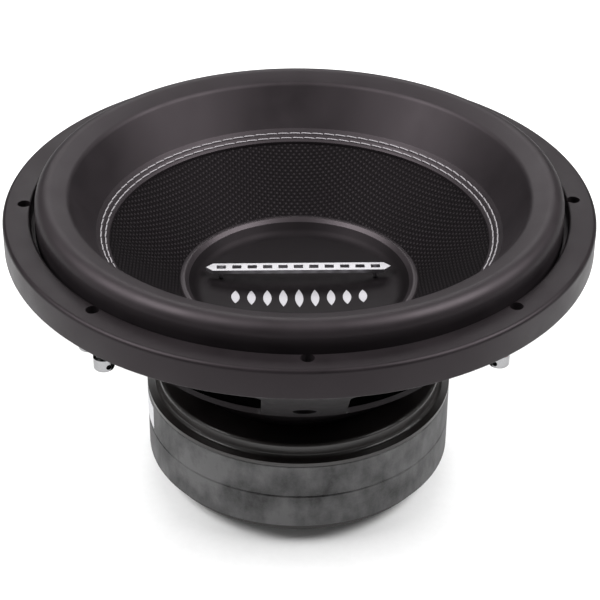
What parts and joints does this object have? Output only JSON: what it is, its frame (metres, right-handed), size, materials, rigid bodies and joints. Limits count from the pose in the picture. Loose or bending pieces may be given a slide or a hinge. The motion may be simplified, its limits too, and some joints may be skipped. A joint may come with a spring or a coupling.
{
  "type": "car subwoofer speaker",
  "caption": "Round car subwoofer with a stitched rubber surround, woven cone, recessed dust cap, spoked basket, push terminals and a stacked ferrite magnet motor.",
  "frame": {"origin": "centre of the bolt circle on the flange's underside, the face that meets the baffle", "axes": "+Z out of the front of the cone along the cone's travel, -Y through the front bolt hole, +X to the right seen from the front"},
  "size_m": [0.318, 0.318, 0.181],
  "materials": {
    "frame_paint": "fine textured black paint",
    "trim_rubber": "matte",
    "surround_rubber": "satin foam",
    "cone_weave": "woven fibre on paper",
    "thread": "sewing thread",
    "cap_plastic": "satin black",
    "badge_chrome": "polished",
    "former_aluminium": "plain",
    "copper": "enamelled winding wire",
    "glue_ring": "cured glue",
    "spider_cloth": "treated cotton",
    "black_steel": "black plated steel",
    "ferrite": "dull grey ferrite",
    "screen_steel": "perforated, black",
    "label_foil": "blank foil",
    "screw_steel": "black oxide",
    "block_plastic": "moulded",
    "tab_brass": "tinned",
    "terminal_chrome": "nickel plated",
    "collar_black": "moulded",
    "collar_red": "moulded",
    "spring_steel": "plain wire",
    "tinsel": "braided tinsel"
  },
  "bodies": {
    "frame": {"basket": "frame_paint", "trim_ring": "trim_rubber", "top_plate": "black_steel", "upper_magnet": "ferrite", "lower_magnet": "ferrite", "yoke": "black_steel", "shorting_ring": "former_aluminium", "vent_screen": "screen_steel", "magnet_label": "label_foil", "foot_screws": "screw_steel", "terminal_block_left": "block_plastic", "terminal_block_right": "block_plastic", "terminal_screws": "screw_steel", "solder_tabs": "tab_brass", "post_left_black": "terminal_chrome", "post_left_red": "terminal_chrome", "post_right_black": "terminal_chrome", "post_right_red": "terminal_chrome", "collar_left_black": "collar_black", "collar_left_red": "collar_red", "collar_right_black": "collar_black", "collar_right_red": "collar_red", "push_spring_left_black": "spring_steel", "push_spring_left_red": "spring_steel", "push_spring_right_black": "spring_steel", "push_spring_right_red": "spring_steel"},
    "cone_assembly": {"cone": "cone_weave", "surround": "surround_rubber", "outer_seam_thread": "thread", "inner_seam_thread": "thread", "dust_cap": "cap_plastic", "badge_bar": "badge_chrome", "badge_pins": "badge_chrome", "coil_former": "former_aluminium", "inner_winding": "copper", "outer_winding": "copper", "neck_ring": "glue_ring", "spider": "spider_cloth", "lead_left_black": "tinsel", "lead_left_red": "tinsel", "lead_right_black": "tinsel", "lead_right_red": "tinsel"},
    "push_cap_left_black": {"push_cap_left_black": "terminal_chrome"},
    "push_cap_left_red": {"push_cap_left_red": "terminal_chrome"},
    "push_cap_right_black": {"push_cap_right_black": "terminal_chrome"},
    "push_cap_right_red": {"push_cap_right_red": "terminal_chrome"}
  },
  "joints": [
    {"name": "cone_stroke", "type": "slide", "parent": "frame", "child": "cone_assembly", "axis": [0, 0, 1], "range_m": [-0.015, 0.015], "stiffness_N_per_m": 7000, "deforming": ["surround", "spider", "lead_left_black", "lead_left_red", "lead_right_black", "lead_right_red"]},
    {"name": "push_left_black", "type": "slide", "parent": "frame", "child": "push_cap_left_black", "axis": [0, 0, 1], "range_m": [0, 0.0022], "stiffness_N_per_m": 500, "springref_m": -0.002, "deforming": ["push_spring_left_black"]},
    {"name": "push_left_red", "type": "slide", "parent": "frame", "child": "push_cap_left_red", "axis": [0, 0, 1], "range_m": [0, 0.0022], "stiffness_N_per_m": 500, "springref_m": -0.002, "deforming": ["push_spring_left_red"]},
    {"name": "push_right_black", "type": "slide", "parent": "frame", "child": "push_cap_right_black", "axis": [0, 0, 1], "range_m": [0, 0.0022], "stiffness_N_per_m": 500, "springref_m": -0.002, "deforming": ["push_spring_right_black"]},
    {"name": "push_right_red", "type": "slide", "parent": "frame", "child": "push_cap_right_red", "axis": [0, 0, 1], "range_m": [0, 0.0022], "stiffness_N_per_m": 500, "springref_m": -0.002, "deforming": ["push_spring_right_red"]}
  ]
}
